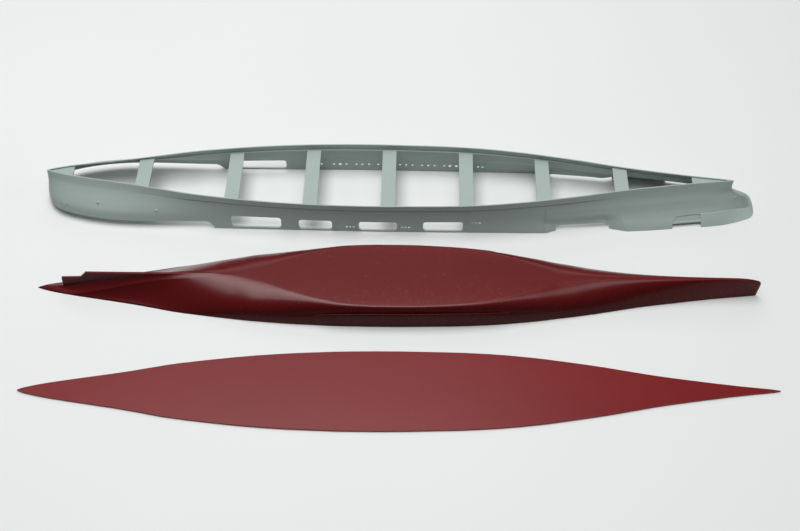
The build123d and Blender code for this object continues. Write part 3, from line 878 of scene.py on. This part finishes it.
def styrene(name, dark, light, rough, rough_var, specular, grain=0.25, flow=0.5,
            painted_side_shade=1.0, steep=(0.15, 0.9), sheen=None):
    """Injection-moulded polystyrene: slow flow clouding along the part, fine grain,
    faint scuffs and a roughness that varies with them. With a side shade under 1 it also
    paints shade into the base colour: steep faces darker, eased towards the bow end."""
    m, nt, bsdf, co = node_material(name)
    cloud = noise(nt, co, 14, 4, 0.55, (0.35, 1.6, 1.2))
    fine = noise(nt, co, 1500, 2, 0.6)
    speck = noise(nt, co, 420, 3, 0.65)
    base = ramp(nt, cloud, [(0.32, dark), (0.68, light)])
    tint = map_range(nt, fine, 0.3, 0.7, 0.965, 1.035)
    grey = nt.nodes.new("ShaderNodeCombineColor")
    for i in range(3):
        nt.links.new(tint, grey.inputs[i])
    colour = mix(nt, 1.0, base, grey.outputs[0], "MULTIPLY")
    scuff = noise(nt, co, 60, 5, 0.7, (0.25, 3.0, 1.0))
    worn = map_range(nt, scuff, 0.60, 0.78, 0.0, 1.0)
    colour = mix(nt, maths(nt, "MULTIPLY", worn, 0.12 * flow), colour,
                 tuple(min(1, c * 1.5 + 0.03) for c in light))
    # painted shade: the base colour is darkened on steep faces by the object-space normal, standing in
    # for the shade those faces sit in; the darkening eases off towards the bow end
    if painted_side_shade < 1.0:
        part = nt.nodes.new("ShaderNodeSeparateXYZ")
        nt.links.new(co.outputs["Normal"], part.inputs[0])
        up = map_range(nt, maths(nt, "ABSOLUTE", part.outputs[2]), steep[0], steep[1], painted_side_shade, 1.0)
        place = nt.nodes.new("ShaderNodeSeparateXYZ")
        nt.links.new(co.outputs["Object"], place.inputs[0])
        bow = map_range(nt, place.outputs[0], 0.10, 0.16, 0.0, 0.35)
        up = maths(nt, "ADD", up, maths(nt, "MULTIPLY", bow, maths(nt, "SUBTRACT", 1.0, up)))
        share = nt.nodes.new("ShaderNodeCombineColor")
        for i in range(3):
            nt.links.new(up, share.inputs[i])
        colour = mix(nt, 1.0, colour, share.outputs[0], "MULTIPLY")
    nt.links.new(colour, bsdf.inputs["Base Color"])
    r = map_range(nt, maths(nt, "ADD", maths(nt, "MULTIPLY", speck, 0.6),
                            maths(nt, "MULTIPLY", cloud, 0.4)), 0.3, 0.7,
                  rough - rough_var, rough + rough_var)
    nt.links.new(r, bsdf.inputs["Roughness"])
    if sheen is None:
        bsdf.inputs["Specular IOR Level"].default_value = specular
    else:
        tip = nt.nodes.new("ShaderNodeSeparateXYZ")
        nt.links.new(co.outputs["Normal"], tip.inputs[0])
        nt.links.new(map_range(nt, maths(nt, "ABSOLUTE", tip.outputs[2]), 0.3, 0.8, sheen, specular),
                     bsdf.inputs["Specular IOR Level"])
    bsdf.inputs["IOR"].default_value = 1.5
    bump(nt, bsdf, [(cloud, 0.10 * flow, 0.0012), (fine, grain, 0.00003)])
    return m


# grey and maroon both carry painted shade: their base colour drops to 0.82 and 0.34 of full on steep
# faces
GREY = styrene("grey_styrene", (0.342, 0.414, 0.390), (0.378, 0.450, 0.422),
               0.46, 0.05, 0.45, grain=0.3, painted_side_shade=0.82)
MAROON = styrene("maroon_styrene", (0.118, 0.0024, 0.0034), (0.138, 0.0032, 0.0044),
                 0.26, 0.03, 0.38, grain=0.10, flow=0.5, painted_side_shade=0.34, steep=(0.5, 0.98), sheen=0.14)
RED = styrene("red_styrene", (0.178, 0.0042, 0.0052), (0.198, 0.0054, 0.0066),
              0.33, 0.03, 0.35, grain=0.15, flow=0.5)

for name, ob in NODES.items():
    slot = {"lower_hull_shell": MAROON, "stern_skeg": MAROON, "port_bilge_keel": MAROON,
            "starboard_bilge_keel": MAROON, "waterline_plate": RED}.get(name, GREY)
    ob.data.materials.clear()
    ob.data.materials.append(slot)
hull_skin.data.materials.append(MAROON)
upper_skin.data.materials.clear()
upper_skin.data.materials.append(GREY)
hull_marks.data.materials.append(GREY)
for keel in keels:
    keel.data.materials.append(MAROON)


def shade_by_angle(ob, degrees):
    """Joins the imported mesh's split corners and shades it smooth below an angle."""
    weld = ob.modifiers.new("weld", "WELD")
    weld.merge_threshold = 1e-6
    group = bpy.data.node_groups.get(f"smooth_{degrees}")
    if group is None:
        group = bpy.data.node_groups.new(f"smooth_{degrees}", "GeometryNodeTree")
        group.interface.new_socket("Geometry", in_out="INPUT", socket_type="NodeSocketGeometry")
        group.interface.new_socket("Geometry", in_out="OUTPUT", socket_type="NodeSocketGeometry")
        gin = group.nodes.new("NodeGroupInput")
        gout = group.nodes.new("NodeGroupOutput")
        faces = group.nodes.new("GeometryNodeSetShadeSmooth")
        faces.domain = "FACE"
        edges = group.nodes.new("GeometryNodeSetShadeSmooth")
        edges.domain = "EDGE"
        edges.inputs["Shade Smooth"].default_value = False
        angle = group.nodes.new("GeometryNodeInputMeshEdgeAngle")
        test = group.nodes.new("FunctionNodeCompare")
        test.data_type = "FLOAT"
        test.operation = "GREATER_THAN"
        test.inputs[1].default_value = math.radians(degrees)
        drop = group.nodes.new("GeometryNodeRemoveAttribute")
        drop.inputs["Name"].default_value = "custom_normal"
        group.links.new(gin.outputs[0], drop.inputs[0])
        group.links.new(drop.outputs[0], faces.inputs[0])
        group.links.new(faces.outputs[0], edges.inputs[0])
        group.links.new(angle.outputs[0], test.inputs[0])
        group.links.new(test.outputs[0], edges.inputs["Selection"])
        group.links.new(edges.outputs[0], gout.inputs[0])
    gn = ob.modifiers.new("smooth", "NODES")
    gn.node_group = group


for name, ob in NODES.items():
    shade_by_angle(ob, 28)
shade_by_angle(upper_skin, 22)
shade_by_angle(hull_marks, 50)

# ------------------------------------------------------------------ floor, light, camera
bm = bmesh.new()
size, seg = 3.2, 16
for i in range(seg + 1):
    for j in range(seg + 1):
        bm.verts.new(((i / seg - 0.5) * size, (j / seg - 0.5) * size + 0.3, -0.0001))
bm.verts.ensure_lookup_table()
for i in range(seg):
    for j in range(seg):
        a = i * (seg + 1) + j
        bm.faces.new([bm.verts[a], bm.verts[a + seg + 1], bm.verts[a + seg + 2], bm.verts[a + 1]])
floor = link("floor", bm)
paper, nt, bsdf, co = node_material("pale_paper")
shade = ramp(nt, noise(nt, co, 3.0, 3, 0.5), [(0.3, (0.80, 0.815, 0.808)), (0.7, (0.83, 0.845, 0.838))])
nt.links.new(shade, bsdf.inputs["Base Color"])
bsdf.inputs["Roughness"].default_value = 0.9
bsdf.inputs["Specular IOR Level"].default_value = 0.1
floor.data.materials.append(paper)


def area(name, place, look_at, size, power, colour=(1, 1, 1)):
    light = bpy.data.lights.new(name, "AREA")
    light.shape = "RECTANGLE"
    light.size, light.size_y = size
    light.energy = power
    light.color = colour
    ob = bpy.data.objects.new(name, light)
    ob.location = place
    ob.rotation_euler = (Vector(look_at) - Vector(place)).to_track_quat("-Z", "Y").to_euler()
    bpy.context.scene.collection.objects.link(ob)
    return ob


area("softbox_front", (-0.17, -0.2, 1.0), (-0.17, -0.2, 0.0), (0.66, 0.4), 3.4)
area("softbox_mid", (-0.17, 0.2, 1.0), (-0.17, 0.2, 0.0), (0.66, 0.4), 4.4)
area("softbox_back", (-0.17, 0.5, 1.0), (-0.17, 0.5, 0.0), (0.66, 0.2), 1.6)
area("softbox_right", (0.38, -0.2, 1.0), (0.38, -0.2, 0.0), (0.44, 0.4), 1.1)
area("back_high", (0.0, 1.1, 0.8), (0.0, 0.0, 0.0), (1.2, 0.5), 2.0)
area("fill_left", (-1.2, 0.1, 0.6), (0.0, 0.0, 0.0), (0.6, 0.6), 0.2)
area("fill_right", (1.2, 0.1, 0.6), (0.0, 0.0, 0.0), (0.6, 0.6), 1.6)

world = bpy.data.worlds.new("studio")
bpy.context.scene.world = world
world.use_nodes = True
wn = world.node_tree
wn.nodes["Background"].inputs[0].default_value = (0.93, 0.97, 1.0, 1)
wn.nodes["Background"].inputs[1].default_value = 0.12

TILT = math.radians(50)
TURN = math.radians(1.2254)
camera = bpy.data.cameras.new("camera")
camera.lens = 1285.5 / 800 * 36
camera.sensor_width = 36
camera.clip_start = 0.01
cam = bpy.data.objects.new("camera", camera)
cam.location = (0.00972, -0.40612, 0.50305)
ahead = Vector((-math.sin(TURN) * math.cos(TILT), math.cos(TURN) * math.cos(TILT), -math.sin(TILT)))
cam.rotation_euler = ahead.to_track_quat("-Z", "Y").to_euler()
bpy.context.scene.collection.objects.link(cam)
bpy.context.scene.camera = cam
bpy.context.scene.view_settings.view_transform = "Standard"
